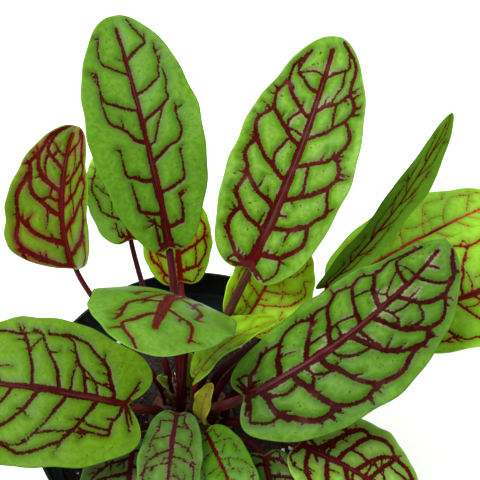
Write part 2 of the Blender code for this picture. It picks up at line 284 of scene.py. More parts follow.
class Graph:
    """A node tree under construction: put adds a node and returns one of its outputs."""

    def __init__(self, tree):
        self.tree = tree

    def join(self, value, socket):
        if isinstance(value, bpy.types.NodeSocket):
            self.tree.links.new(value, socket)
        else:
            socket.default_value = value

    def put(self, kind, inputs, output=0, **settings):
        node = self.tree.nodes.new(kind)
        for name, value in settings.items():
            setattr(node, name, value)
        for place, value in inputs.items():
            self.join(value, node.inputs[place])
        return node.outputs[output]

    def noise(self, where, scale, detail=2.0, roughness=0.5, output=0):
        inputs = {"Vector": where, "Scale": scale, "Detail": detail, "Roughness": roughness}
        return self.put("ShaderNodeTexNoise", inputs, output)

    def math(self, operation, first, second=0.0):
        return self.put("ShaderNodeMath", {0: first, 1: second}, operation=operation)

    def times(self, first, second):
        return self.math("MULTIPLY", first, second)

    def spread(self, value, low, high, start=0.0, end=1.0, kind="SMOOTHSTEP"):
        """value turned from low..high into start..end, and held there beyond."""
        inputs = {0: value, 1: low, 2: high, 3: start, 4: end}
        return self.put("ShaderNodeMapRange", inputs, interpolation_type=kind)


class Finish(Graph):
    """A material under construction."""

    def __init__(self, name):
        self.material = bpy.data.materials.new(name)
        self.material.use_nodes = True
        super().__init__(self.material.node_tree)
        self.shader = self.tree.nodes["Principled BSDF"]
        self.out = self.tree.nodes["Material Output"]

    def attribute(self, name, output="Fac"):
        return self.put("ShaderNodeAttribute", {}, output, attribute_name=name)

    def place(self):
        return self.put("ShaderNodeTexCoord", {}, "Object")

    def mix(self, share, first, second):
        return self.put("ShaderNodeMix", {0: share, 6: first, 7: second}, 2, data_type="RGBA")

    def over(self, colour, other, field, low, high, most=1.0):
        """The other colour laid over this one as the field goes from low to high, up to the share most."""
        return self.mix(self.spread(field, low, high, 0.0, most), colour, other)

    def bump(self, height, strength, distance):
        """Raises the surface by a height; distance is in metres."""
        inputs = {"Height": height, "Strength": strength, "Distance": distance}
        for before in self.shader.inputs["Normal"].links:
            inputs["Normal"] = before.from_socket
        self.join(self.put("ShaderNodeBump", inputs), self.shader.inputs["Normal"])

    def set(self, **values):
        """Values of the shader's own sockets; an underscore stands for a space."""
        for name, value in values.items():
            self.join(value, self.shader.inputs[name.replace("_", " ")])

    def coat(self, colour, roughness, height, strength, distance, **others):
        """The material, finished with this colour, roughness and bump."""
        self.set(Base_Color=colour, Roughness=roughness, **others)
        self.bump(height, strength, distance)
        return self.material


def unit(vectors):
    return vectors / np.linalg.norm(vectors, axis=-1, keepdims=True)


def turn(first, second, degrees):
    """The pair of directions turned from first towards second."""
    angle = np.radians(degrees)
    cosine = np.cos(angle)[..., None]
    sine = np.sin(angle)[..., None]
    return first * cosine + second * sine, second * cosine - first * sine


def midrib_frame(leaf, along):
    """Points of the midrib at along, 0 at the base to 1 at the tip, and the directions on, right and out."""
    along = np.asarray(along, float)
    start = np.array(leaf.base, float)
    chord = np.array(leaf.tip, float) - start
    length = np.linalg.norm(chord)
    chord_way = chord / length
    level = math.hypot(chord[0], chord[1])
    out = np.array((-chord_way[0] * chord[2], -chord_way[1] * chord[2], level)) / level
    out = unit(out - chord_way * (out @ chord_way))
    right = np.cross(chord_way, out)
    out, right = turn(out, right, np.array(leaf.roll, float))
    swing = 4 * along * (1 - along)
    slope = 4 * (1 - 2 * along)
    aside = out * leaf.bow + right * leaf.sweep
    points = start + along[..., None] * chord + swing[..., None] * aside
    on = unit(chord + slope[..., None] * aside)
    right = unit(np.cross(on, out))
    out = np.cross(right, on)
    out, right = turn(out, right, leaf.twist * (along - 0.5))
    return points, on, right, out


def half_width(leaf, q):
    """Half the blade's width over its full half width; q runs from the notch, 0, to the tip, 1."""
    skew = math.log(0.5) / math.log(leaf.widest)
    return np.sin(np.pi * np.clip(q, 0, 1) ** skew) ** 0.52


def reach_back(leaf, q, v):
    """Place along the blade, from 0 to 1, of a point; the ears at its base lie behind the stalk's end."""
    return q - 2.7 * leaf.ear * half_width(leaf, q) * (1 - q) ** 6 * np.abs(v) ** 1.4


def blade_point(leaf, q, v):
    """Points of the blade's middle surface: q from base to tip, v from -1 at its left margin to 1."""
    across = v * half_width(leaf, q) * leaf.width / 2
    points, _, right, out = midrib_frame(leaf, reach_back(leaf, q, v))
    side = v > 0
    share = np.abs(across) / (leaf.width / 2)
    tilt = np.where(side, leaf.fold[1], leaf.fold[0])
    tilt = np.radians(tilt + np.where(side, leaf.curl[1], leaf.curl[0]) * share / 2)
    ripple = leaf.wave * share**2 * np.sin(2 * np.pi * leaf.waves * q + 1.3 * np.sign(v))
    aside = (across * np.cos(tilt))[..., None] * right
    return points + aside + (np.abs(across) * np.sin(tilt) + ripple)[..., None] * out


def smooth_step(value, low, high):
    share = np.clip((value - low) / (high - low), 0, 1)
    return share * share * (3 - 2 * share)


def through(points, step=0.8):
    """A smooth line through the points, with a point of its own about every step."""
    points = np.array(points, float)
    ends = np.vstack([2 * points[0] - points[1], points, 2 * points[-1] - points[-2]])
    rows = []
    for before, start, end, after in zip(ends, ends[1:], ends[2:], ends[3:]):
        count = max(2, int(np.linalg.norm(end - start) / step))
        t = np.linspace(0, 1, count, endpoint=False)[:, None]
        rows.append(start + (end - before) * t / 2 + (2 * before - 5 * start + 4 * end - after) * t**2 / 2
                    + (3 * start - before - 3 * end + after) * t**3 / 2)
    return np.vstack([*rows, points[-1:]])


class Veins:
    """The vein net of one blade laid flat: x across the midrib, y from its base, both in millimetres."""

    def __init__(self, leaf, look):
        self.leaf, self.look = leaf, look
        self.draw = np.random.default_rng(look.seed)
        self.length = math.dist(leaf.base, leaf.tip)
        self.scale = min(1.0, leaf.width / FULL_WIDTH)
        self.lines = []
        top = look.rib_end * self.length
        self.add([(0, -2), (0, top / 2), (0, top)], look.rib, look.rib * 0.36, 0.12)
        for side in (-1, 1):
            self.add_side(side, top)

    def half(self, y):
        return float(half_width(self.leaf, np.clip(y / self.length, 0.0, 1.0))) * self.leaf.width / 2

    def add(self, points, start, end, wobble=0.35):
        """One vein, a little crooked, whose width runs from start to end."""
        line = through(points)
        count = max(2, len(line) // 5) + 1
        bends = self.draw.normal(0, wobble, (count, 2))
        bends[0] = bends[-1] = 0
        places = np.linspace(0, count - 1, len(line))
        line += np.stack([np.interp(places, range(count), bends[:, axis]) for axis in (0, 1)], 1)
        swell = np.interp(places, range(count), self.draw.uniform(0.8, 1.18, count))
        self.lines.append((line, np.linspace(start, end, len(line)) / 2 * swell))
        return line

    def add_side(self, side, top):
        """Laterals of one side, from the tip down; some end in a loop that meets the end of the last."""
        look, draw = self.look, self.draw
        pitch = top * 0.92 / look.laterals
        above = bend_above = None
        for index in reversed(range(look.laterals)):
            shift = SIDE_SHIFT if side > 0 else 0.0
            start = max(1.0, top * 0.01 + pitch * (index + shift + draw.normal(0, 0.07)))
            low = 1 - start / top
            lean = math.radians(look.lean + draw.normal(0, 5) + 20 * low**4)
            rise = 1 / math.tan(lean)
            outermost = self.half(start + 0.5 * rise * self.half(start + pitch))
            reach = look.spread * outermost * draw.uniform(0.9, 1.06)
            width = look.bold * self.scale * (1.0 + 0.6 * low)
            points = [(side * reach * x, start + reach * (y * rise)) for x, y in LATERAL_RUN]
            joins = above is not None and draw.random() < look.loops
            if not joins:
                points.append((side * reach * 1.02, points[-1][1] + 0.75 * pitch))
            most = [(NET_MARGIN - 0.13 * y / top) * self.half(y) for _, y in points]
            points = [(side * min(abs(x), limit), y) for (x, y), limit in zip(points, most)]
            line = self.add(points, width, width * (0.8 if joins else 0.35), 0.4)
            bend = line[-1]
            if joins:
                middle = (bend + bend_above) / 2 + (side * LOOP_BULGE * abs(bend_above[1] - bend[1]), 0.0)
                middle[0] = side * min(abs(middle[0]), NET_MARGIN * self.half(middle[1]))
                loop = self.add([bend, middle, bend_above], width * 0.8, width * 0.65, 0.4)
                self.add_spurs(loop, side, width, look.spurs * 0.5, (1.0, 0.5))
            self.add_spurs(line[-3:], side, width, 1.6, (1.0, 0.45))
            self.add_spurs(line, side, width, look.spurs * 0.6, (0.25, 1.0))
            if above is not None:
                self.add_links(line, above, width)
            if draw.random() < look.between:
                self.add_short(side, start + pitch * draw.uniform(0.35, 0.6), reach, line, above, width)
            above, bend_above = line, bend
        self.add_foot(side, bend_above)

    def add_foot(self, side, bend):
        """The lowest laterals, which fan out and back into the blade's foot."""
        width = self.look.bold * self.scale * 1.25
        low = self.half(0.04 * self.length)
        for reach, drop, outer in ((0.72, 0.0, True), (0.5, -1.0, False)):
            goal = np.array((side * low * reach, drop - 2.0 * self.leaf.ear * low * reach))
            line = self.add([(0, 1.5), goal / 2 + (0, 0.8), goal], width, width * 0.5, 0.3)
            self.add_spurs(line, side, width, 2.0, (0.5, -1.0))
            if outer and self.look.loops > 0.5:
                middle = (goal + bend) / 2 + (side * 0.2 * abs(bend[1] - goal[1]), 0.0)
                loop = self.add([goal, middle, bend], width * 0.6, width * 0.6, 0.4)
                self.add_spurs(loop, side, width, self.look.spurs * 0.4, (1.0, 0.2))

    def add_spurs(self, line, side, width, count, way):
        """Short side branches that end blind."""
        for _ in range(self.draw.poisson(count)):
            foot = line[self.draw.integers(len(line) // 4, len(line))]
            heading = unit(np.array((side * way[0], way[1])) + self.draw.normal(0, 0.35, 2))
            size = self.draw.uniform(1.6, 4.8) * self.scale
            end = foot + heading * size
            if abs(end[0]) < 0.93 * self.half(end[1]):
                bend = foot + heading * size * 0.55 + self.draw.normal(0, 0.3, 2)
                self.add([foot, bend, end], width * 0.7, 0.3, 0.2)

    def add_links(self, line, above, width):
        """Cross links between two laterals; some stop halfway, from either side."""
        count = self.look.links
        for index in range(count):
            share = (index + self.draw.uniform(0.3, 0.9)) / max(count, 1)
            first = line[int((len(line) - 1) * share * 0.85)]
            last = above[int((len(above) - 1) * share * 0.72)]
            if self.draw.random() < 0.5:
                first, last = last, first
            middle = (first + last) / 2 + self.draw.normal(0, 0.13 * np.linalg.norm(last - first), 2)
            if self.draw.random() < self.look.net:
                self.add([first, middle, last], width * 0.6, width * 0.5, 0.4)
            else:
                halfway = (first + middle) / 2 + self.draw.normal(0, 0.3, 2)
                self.add([first, halfway, middle], width * 0.6, 0.3, 0.3)

    def add_short(self, side, start, reach, line, above, width):
        """A short lateral between two others, which may fork towards them."""
        fork = np.array((side * reach * self.draw.uniform(0.2, 0.42), start + self.draw.uniform(0.5, 2.5)))
        self.add([(0, start), fork * (0.55, 0.5) + (0, start * 0.5), fork], width * 0.7, width * 0.45, 0.3)
        for other, share in ((line, 0.55), (above, 0.4)):
            if other is not None and self.draw.random() < self.look.net:
                goal = other[int((len(other) - 1) * share)]
                middle = (fork + goal) / 2 + self.draw.normal(0, 0.4, 2)
                self.add([fork, middle, goal], width * 0.5, width * 0.4)


def distances(places, lines):
    """How far each flat place lies outside the nearest line's edge, in millimetres; negative inside it."""
    gaps = np.full(len(places), FIELD_REACH)
    at_once = 12  # segments of a line
    for line, halves in lines:
        low, high = line.min(0) - FIELD_REACH, line.max(0) + FIELD_REACH
        near = np.nonzero(((places > low) & (places < high)).all(1))[0]
        for first in range(0, len(line) - 1, at_once):
            part = slice(first, first + at_once + 1)
            start, run = line[part][:-1], np.diff(line[part], axis=0)
            spot = places[near][:, None] - start
            share = ((spot * run).sum(-1) / np.maximum((run * run).sum(-1), 1e-9)).clip(0, 1)
            wide = halves[part][:-1] * (1 - share) + halves[part][1:] * share
            away = np.linalg.norm(spot - share[..., None] * run, axis=-1) - wide
            gaps[near] = np.minimum(gaps[near], away.min(1))
    return gaps


def closed_sheet(points, normals, thickness):
    """Vertices and triangles of a grid given a thickness, which is nothing along its edge."""
    rows, columns = points.shape[:2]
    count = rows * columns
    upper = np.arange(count).reshape(rows, columns)
    upper[0], upper[-1] = upper[0, 0], upper[-1, 0]
    lower = upper + count
    for edge in (np.s_[0], np.s_[-1], np.s_[:, 0], np.s_[:, -1]):
        lower[edge] = upper[edge]
    faces = []
    for grid, flip in ((upper, 1), (lower, -1)):
        a, b, c, d = grid[:-1, :-1], grid[:-1, 1:], grid[1:, 1:], grid[1:, :-1]
        for corners in ((a, b, c), (a, c, d)):
            faces.append(np.stack(corners, -1).reshape(-1, 3)[:, ::flip])
    faces = np.vstack(faces)
    whole = (faces != np.roll(faces, 1, axis=1)).all(1)
    shift = (normals * thickness[..., None] / 2).reshape(-1, 3)
    points = points.reshape(-1, 3)
    kept, faces = np.unique(faces[whole], return_inverse=True)
    return np.vstack([points + shift, points - shift])[kept], faces.reshape(-1, 3), kept


def plain_mesh(name, points, faces, fields=(), edges=()):
    """A mesh from points in millimetres, with a named value for each point where fields give one."""
    mesh = bpy.data.meshes.new(name)
    mesh.from_pydata((points * MM).tolist(), edges, faces)
    mesh.shade_smooth()
    for label, values in fields:
        kind, entry = ("FLOAT_VECTOR", "vector") if values.ndim == 2 else ("FLOAT", "value")
        mesh.attributes.new(label, kind, "POINT").data.foreach_set(entry, values.astype(np.float32).ravel())
    return mesh


def chain(points):
    """Edges that join the points in a row."""
    return [(index, index + 1) for index in range(len(points) - 1)]


def placed(name, data):
    made = bpy.data.objects.new(name, data)
    bpy.context.scene.collection.objects.link(made)
    return made


def plain_copy(made, name):
    """The mesh that an object's modifiers make."""
    mesh = bpy.data.meshes.new_from_object(made.evaluated_get(bpy.context.evaluated_depsgraph_get()))
    mesh.name = name
    return mesh


def piece(name, mesh, finish, slot, *nodes):
    """A finished piece of the plant: it rides on the one body and stands for these nodes."""
    made = placed(name, mesh)
    if finish is not None:
        mesh.materials.clear()
        mesh.materials.append(finish)
    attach(made, "root")
    if nodes:
        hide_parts(*nodes)
    return made


def make_blade(leaf, look):
    """A blade's finer sheet, with its veins sunk between puckers and its margin gently ruffled."""
    veins = Veins(leaf, look)
    y = np.linspace(0, 1, int(veins.length * 1.05 / CELL) + 1)
    q = (y + (1 - np.cos(np.pi * y)) / 2) / 2
    v = np.linspace(-1, 1, 2 * int(leaf.width / CELL / 2) + 1)
    q, v = np.meshgrid(q, v, indexing="ij")
    size = veins.scale
    phase = veins.draw.uniform(0, 6, 8)
    nicks = np.sin(q * 23 + phase[4] + 2 * np.sign(v)) + 0.7 * np.sin(q * 41 + phase[5] - np.sign(v))
    v = v * (1 - NICK_SHARE * np.abs(v) ** 3 * (1.7 + nicks))
    flat = np.stack([v * half_width(leaf, q) * leaf.width / 2, reach_back(leaf, q, v) * veins.length], -1)
    outline = np.vstack([flat[:, 0], flat[::-1, -1]])
    places = flat.reshape(-1, 2)
    gap = distances(places, veins.lines).reshape(q.shape)
    edge = distances(places, [(outline, np.zeros(len(outline)))]).reshape(q.shape)
    points = blade_point(leaf, q, v)
    normals = np.cross(np.gradient(points, axis=1), np.gradient(points, axis=0))
    normals[0], normals[-1] = normals[1].mean(0), normals[-2].mean(0)
    normals = unit(normals)
    inner = smooth_step(edge, 0, MARGIN_WIDTH)
    dome = 1 - np.exp(-np.maximum(gap, 0) / BULGE_WIDTH)
    across, along = flat[..., 0], flat[..., 1]
    rolling = np.sin(along / 5.1 + across / 7 + phase[0]) * np.sin(across / 4.3 + phase[1])
    ruffle = np.sin(along / 3.7 + phase[2]) + np.sin(along / 6.1 + v * 2 + phase[3])
    relief = inner * (look.pucker * size * (dome - 0.55) - VEIN_DEPTH * (gap < 0)
                      + ROLL_HEIGHT * rolling * size)
    relief = relief + (1 - inner) * RUFFLE_HEIGHT * ruffle * size
    points = points + normals * relief[..., None]
    thickness = BLADE_THICKNESS * smooth_step(edge, -0.2, 0.8)
    points, faces, kept = closed_sheet(points, normals, thickness)
    count = q.size
    flat = np.column_stack([places, np.zeros(count)])
    fields = [("vein_gap", gap.ravel()), ("edge_gap", edge.ravel()), ("flat", flat)]
    fields = [(label, np.concatenate([values, values])[kept]) for label, values in fields]
    fields.append(("under", (kept >= count).astype(float)))
    mesh = plain_mesh(leaf.name + "_blade_fine", points, faces.tolist(), fields)
    slot = "young_leaf" if leaf.name in YOUNG else "leaf"
    return piece(leaf.name + "_skin", mesh, blade_finish(leaf, look), slot, leaf.name + "_blade")


def blade_finish(leaf, look):
    """Satin skin: green domes with a painted highlight on their tops and painted shade towards the veins,
    ragged red veins with red bleed and a painted whitish sheen beside them, and a thin painted highlight
    along the margin.
    """
    finish = Finish(leaf.name + "_skin")
    over, spread, times = finish.over, finish.spread, finish.times
    # Places on the flat blade, and distances from the nearest vein and the margin, in millimetres
    flat = finish.attribute("flat", "Vector")
    gap, edge, under = (finish.attribute(field) for field in ("vein_gap", "edge_gap", "under"))
    across = finish.put("ShaderNodeSeparateXYZ", {0: flat}, "X")
    off_middle = finish.math("ABSOLUTE", across)
    cloud = finish.noise(flat, 0.055, 3.0, 0.55)
    patch = finish.noise(flat, 0.11, 2.0)
    grain = finish.noise(flat, 0.5, 3.0, 0.6)
    fray = finish.noise(flat, 1.1, 3.0, 0.6)
    ragged = finish.math("ADD", gap, spread(fray, 0.25, 0.75, -0.4, 0.4, "LINEAR"))
    shade_and_mottle = linear(look.green, 0.48)
    bright_red = linear(look.vein, 1.5)

    # Green cells with painted shade towards the veins and a painted highlight on the domes, then bleed, a
    # painted whitish sheen beside the veins, and freckles
    skin = over(linear(look.green, 0.62), linear(look.green, 0.8), cloud, 0.3, 0.7)
    # Painted shade: the green darkens towards the veins, down in the creases between the domes.
    skin = over(skin, shade_and_mottle, gap, 2.0, 0.0, 0.7)
    # Painted highlight: a lighter green laid on the domes' tops, away from the veins.
    sheen = times(spread(gap, 0.8, 3.4), spread(cloud, 0.3, 0.7, 0.45, 1.0))
    sheen = times(sheen, spread(grain, 0.3, 0.62, 0.55, 1.0))
    skin = finish.mix(sheen, skin, linear(look.pale_and_sheen, 0.76))
    skin = over(skin, shade_and_mottle, grain, 0.62, 0.36, 0.3)
    bleed = times(spread(ragged, 1.9, 0.0), spread(cloud, 0.4, 0.6, 0.1, 1.0))
    skin = finish.mix(times(bleed, look.stain), skin, bright_red)
    # Painted sheen: whitish patches on the slopes beside the veins, most near the midrib.
    painted_sheen_beside_veins = times(spread(ragged, 1.8, -0.1), spread(patch, 0.44, 0.62))
    painted_sheen_beside_veins = times(painted_sheen_beside_veins, spread(off_middle, 12.0, 4.0, 0.15, 1.0))
    skin = finish.mix(times(painted_sheen_beside_veins, look.vein_sheen), skin, linear((140, 142, 108)))
    spots = spread(finish.noise(flat, 0.6, 1.5), 0.665, 0.7)
    spots = times(spots, spread(edge, 2.0, 4.0, 0.0, look.freckles))
    skin = finish.mix(spots, skin, linear(look.vein, 1.2))

    # Veins with a painted pinkish sheen, a painted highlight along the margin, and the underside
    red = over(linear(look.vein, 0.42), linear(look.vein, 0.84), grain, 0.35, 0.65)
    stripe = spread(finish.math("COSINE", times(across, 7.5)), 0.2, 1.0, 0.0, 0.6)
    stripe = times(stripe, spread(off_middle, look.rib * 0.42, look.rib * 0.3))
    red = finish.mix(stripe, red, bright_red)
    # Painted sheen: pinkish lighter patches on the veins.
    red = over(red, linear((112, 62, 56)), patch, 0.5, 0.68, look.vein_sheen * 0.35)
    skin = over(skin, red, ragged, 0.16, -0.12)
    # Painted highlight: a thin light strip along the margin.
    skin = over(skin, linear(look.pale_and_sheen, 0.95), edge, 0.75, 0.15, 0.4)
    belly = over(linear(look.pale_and_sheen, 0.72), bright_red, gap, 0.3, -0.3)
    skin = finish.mix(times(under, 0.72), skin, belly)

    # Sheen, relief and light let through
    finish.set(Base_Color=skin, Roughness=spread(grain, 0.3, 0.7, 0.36, 0.5))
    finish.set(Specular_IOR_Level=spread(ragged, -0.1, 0.2, look.gloss * 0.25, look.gloss))
    finish.bump(finish.noise(flat, 0.42, 4.0, 0.62), 0.5, 0.0006)
    finish.bump(finish.noise(flat, 2.2, 2.0), 0.5, 0.00014)
    beside = spread(ragged, -0.1, 0.3, 0.02, 0.4)
    lit = finish.mix(beside, skin, linear(look.pale_and_sheen, 1.2))
    lit = finish.put("ShaderNodeBsdfTranslucent", {"Color": lit})
    both = finish.put("ShaderNodeMixShader", {0: look.glow, 1: finish.shader.outputs[0], 2: lit})
    finish.join(both, finish.out.inputs["Surface"])
    return finish.material


class Growth(Graph):
    """A Geometry Nodes tree under construction, with named inputs for its sizes."""

    def __init__(self, name, **inputs):
        super().__init__(bpy.data.node_groups.new(name, "GeometryNodeTree"))
        face = self.tree.interface
        face.new_socket("Geometry", in_out="INPUT", socket_type="NodeSocketGeometry")
        for label, kind in inputs.items():
            face.new_socket(label, in_out="INPUT", socket_type="NodeSocket" + kind)
        face.new_socket("Geometry", in_out="OUTPUT", socket_type="NodeSocketGeometry")
        self.given = self.tree.nodes.new("NodeGroupInput").outputs

    def named(self, name, kind="FLOAT"):
        return self.put("GeometryNodeInputNamedAttribute", {"Name": name}, data_type=kind)

    def stored(self, geometry, name, value):
        inputs = {"Geometry": geometry, "Name": name, "Value": value}
        return self.put("GeometryNodeStoreNamedAttribute", inputs, data_type="FLOAT", domain="POINT")

    def close(self, geometry):
        """Real geometry, shaded smooth, in the finish that the tree is given."""
        geometry = self.put("GeometryNodeSetShadeSmooth", {"Geometry": geometry})
        geometry = self.put("GeometryNodeRealizeInstances", {"Geometry": geometry})
        inputs = {"Geometry": geometry, "Material": self.given["Finish"]}
        geometry = self.put("GeometryNodeSetMaterial", inputs)
        self.join(geometry, self.tree.nodes.new("NodeGroupOutput").inputs[0])
        return self.tree


def grown(name, guide, tree, **values):
    """The plain mesh that a tree makes of a guide mesh."""
    holder = placed(name + "_guide", guide)
    modifier = holder.modifiers.new("Growth", "NODES")
    modifier.node_group = tree
    for item in tree.interface.items_tree:
        if item.in_out == "INPUT" and item.name in values:
            modifier[item.identifier] = values[item.name]
    holder.update_tag()
    mesh = plain_copy(holder, name + "_fine")
    bpy.data.objects.remove(holder)
    bpy.data.meshes.remove(guide)
    return mesh


def stalk_tree():
    """A ridged tube along the guide's line, as thick as its points say."""
    tube = Growth("stalk_growth", Ridges="Int", Ridge_height="Float", Sides="Int", Finish="Material")
    line = tube.put("GeometryNodeMeshToCurve", {"Mesh": tube.given["Geometry"]})
    way = tube.put("GeometryNodeSplineParameter", {}, "Length")
    line = tube.stored(line, "along", way)
    ring = tube.put("GeometryNodeCurvePrimitiveCircle", {"Resolution": tube.given["Sides"], "Radius": 1.0})
    angle = tube.times(tube.put("GeometryNodeSplineParameter", {}, "Factor"), 2 * math.pi)
    ring = tube.stored(ring, "around", angle)
    wave = tube.math("COSINE", tube.times(angle, tube.given["Ridges"]))
    swell = tube.math("ADD", tube.times(wave, tube.given["Ridge_height"]), 1.0)
    here = tube.put("GeometryNodeInputPosition", {})
    moved = tube.put("ShaderNodeVectorMath", {0: here, "Scale": swell}, operation="SCALE")
    ring = tube.put("GeometryNodeSetPosition", {"Geometry": ring, "Position": moved})
    inputs = {"Curve": line, "Profile Curve": ring, "Scale": tube.named("radius"), "Fill Caps": True}
    return tube.close(tube.put("GeometryNodeCurveToMesh", inputs))


def foot_radius(leaf):
    return leaf.stalk * 1.25 + 0.2


def stalk_line(leaf):
    """Centre points and radii of the stalk, from inside the crown to the end of the rib under the blade."""
    foot = np.array((*leaf.foot, SOIL_TOP + SOIL_MOUND + CROWN_RISE))
    base, on, _, out = midrib_frame(leaf, 0.0)
    joint = base - out * (leaf.stalk + GAP + SOLID_BLADE / 2)
    reach = np.linalg.norm(joint - foot)
    rise = np.array((0.0, 0.0, 1.0)) * reach * 0.9
    run = on * reach * 0.7
    t = np.linspace(0, 1, 36)[:, None]
    stem = ((2 * t**3 - 3 * t**2 + 1) * foot + (t**3 - 2 * t**2 + t) * rise
            + (3 * t**2 - 2 * t**3) * joint + (t**3 - t**2) * run)
    stem_radii = foot_radius(leaf) + (leaf.stalk - foot_radius(leaf)) * t[:, 0] ** 0.6
    share = np.linspace(0.03, RIB_END, 30)
    rib_radii = leaf.stalk + (RIB_TIP_RADIUS - leaf.stalk) * (share / RIB_END) ** 0.7
    place, _, _, out = midrib_frame(leaf, share)
    seat = BLADE_THICKNESS / 2 + GAP * (1 - smooth_step(share, 0.0, 0.12))
    rib = place - out * (rib_radii + seat)[:, None]
    root = foot - np.array((0, 0, 1.0)) * np.array((STALK_DEPTH, STALK_DEPTH / 2))[:, None]
    return np.vstack([root, stem, rib]), np.concatenate([[foot_radius(leaf)] * 2, stem_radii, rib_radii])


def stalk_finish(name, colour):
    """Smooth, streaked, a little glossy skin, paler in fine lines along its length."""
    finish = Finish(name + "_stalk_skin")
    lengthwise = finish.times(finish.attribute("along"), 60.0)
    ways = finish.put("ShaderNodeCombineXYZ", {0: lengthwise, 1: finish.attribute("around")})
    streak = finish.noise(ways, 1.6, 3.0, 0.6)
    blotch = finish.noise(finish.place(), 90.0, 2.0)
    skin = finish.over(linear(colour, 0.42), linear(colour, 0.95), streak, 0.35, 0.68)
    skin = finish.over(skin, linear((colour[0], 60, 36), 0.6), blotch, 0.55, 0.75, 0.45)
    roughness = finish.spread(streak, 0.3, 0.7, 0.34, 0.5)
    return finish.coat(skin, roughness, streak, 0.35, 0.0003, Specular_IOR_Level=0.12)


def make_stalk(leaf, look, tree):
    points, radii = stalk_line(leaf)
    guide = plain_mesh(leaf.name + "_line", points, [], [("radius", radii * MM)], chain(points))
    finish = stalk_finish(leaf.name, look.stalk)
    mesh = grown(leaf.name + "_stalk", guide, tree, Ridges=5, Ridge_height=0.07, Sides=20, Finish=finish)
    return piece(leaf.name + "_stem", mesh, None, "stalk", leaf.name + "_stalk")


def wall_radius(height):
    """Outer radius of the pot's wall below the collar."""
    top = POT_HEIGHT - COLLAR_HEIGHT
    return FOOT_RADIUS + (RIM_RADIUS - COLLAR_STEP - 1.0 - FOOT_RADIUS) * height / top


def pot_profile():
    """Down the outside from the rim, along the underside to the axis, and back up the inside."""
    collar_foot = POT_HEIGHT - COLLAR_HEIGHT
    collar_radius = RIM_RADIUS - COLLAR_TAPER
    ring_inside = FOOT_RADIUS - FOOT_RING_WIDTH
    inner_floor = FLOOR_RISE + WALL
    return [
        (RIM_RADIUS - 0.4, POT_HEIGHT),
        (RIM_RADIUS - 0.12, POT_HEIGHT - 0.15),
        (RIM_RADIUS, POT_HEIGHT - 0.6),
        (RIM_RADIUS, POT_HEIGHT - 2.0),
        (RIM_RADIUS - 0.35, POT_HEIGHT - 2.6),
        (RIM_RADIUS - 1.0, collar_foot + 0.6),
        (RIM_RADIUS - 1.2, collar_foot + 0.2),
        (collar_radius, collar_foot),
        (wall_radius(collar_foot) + 0.2, collar_foot - 0.2),
        (wall_radius(collar_foot), collar_foot - 0.8),
        (wall_radius(WALL_MIDDLE), WALL_MIDDLE),
        (wall_radius(20.0), 20.0),
        (wall_radius(1.5), 1.5),
        (wall_radius(0) - 0.3, 0.4),
        (wall_radius(0) - 1.0, 0.0),
        (ring_inside, 0.0),
        (ring_inside - 1.5, FLOOR_RISE),
        (BOSS_RADIUS + 2.0, FLOOR_RISE),
        (BOSS_RADIUS, 0.0),
        (0.0, 0.0),
        (0.0, inner_floor),
        (ring_inside - 1.0, inner_floor),
        (FOOT_RADIUS - WALL - 2.0, WALL),
        (wall_radius(3.0) - WALL, 3.0),
        (wall_radius(collar_foot) - WALL, collar_foot - 1.2),
        (collar_radius - WALL - 0.3, collar_foot + 0.6),
        (collar_radius - WALL, collar_foot + 1.0),
        (RIM_RADIUS - WALL, POT_HEIGHT - 0.6),
        (RIM_RADIUS - WALL + 0.1, POT_HEIGHT - 0.15),
        (RIM_RADIUS - WALL + 0.4, POT_HEIGHT),
        (RIM_RADIUS - 0.4, POT_HEIGHT),
    ]


def turned(name, profile, steps=TURNED_STEPS):
    """An object turned round Z from a profile."""
    points = np.array([(radius, 0.0, height) for radius, height in profile])
    made = placed(name, plain_mesh(name, points, [], edges=chain(points)))
    screw = made.modifiers.new("Turn", "SCREW")
    screw.steps = screw.render_steps = steps
    screw.use_merge_vertices = True
    screw.merge_threshold = 0.00001
    screw.use_smooth_shade = True
    return made


def make_pot():
    pot = turned("pot_turned", pot_profile())
    low, high = 0.5, 9.0  # ends of the drills, under and over the floor
    drills = []
    for index in range(DRAIN_HOLES):
        angle = 2 * math.pi * (index + 0.5) / DRAIN_HOLES
        outline = [(0, high), (DRAIN_HOLE_RADIUS, high), (DRAIN_HOLE_RADIUS, low), (0, low)]
        drill = turned(f"drill_{index}", outline, 32)
        drill.location = Vector((math.cos(angle), math.sin(angle), 0)) * DRAIN_RING_RADIUS * MM
        hole = pot.modifiers.new(f"Hole_{index}", "BOOLEAN")
        hole.object = drill
        drills.append(drill)
    bpy.context.view_layer.update()
    mesh = plain_copy(pot, "pot_fine")
    mesh.set_sharp_from_angle(angle=math.radians(SHARP_ANGLE))
    for used in (pot, *drills):
        bpy.data.objects.remove(used)
    return piece("pot_shell", mesh, pot_finish(), "pot", "pot")


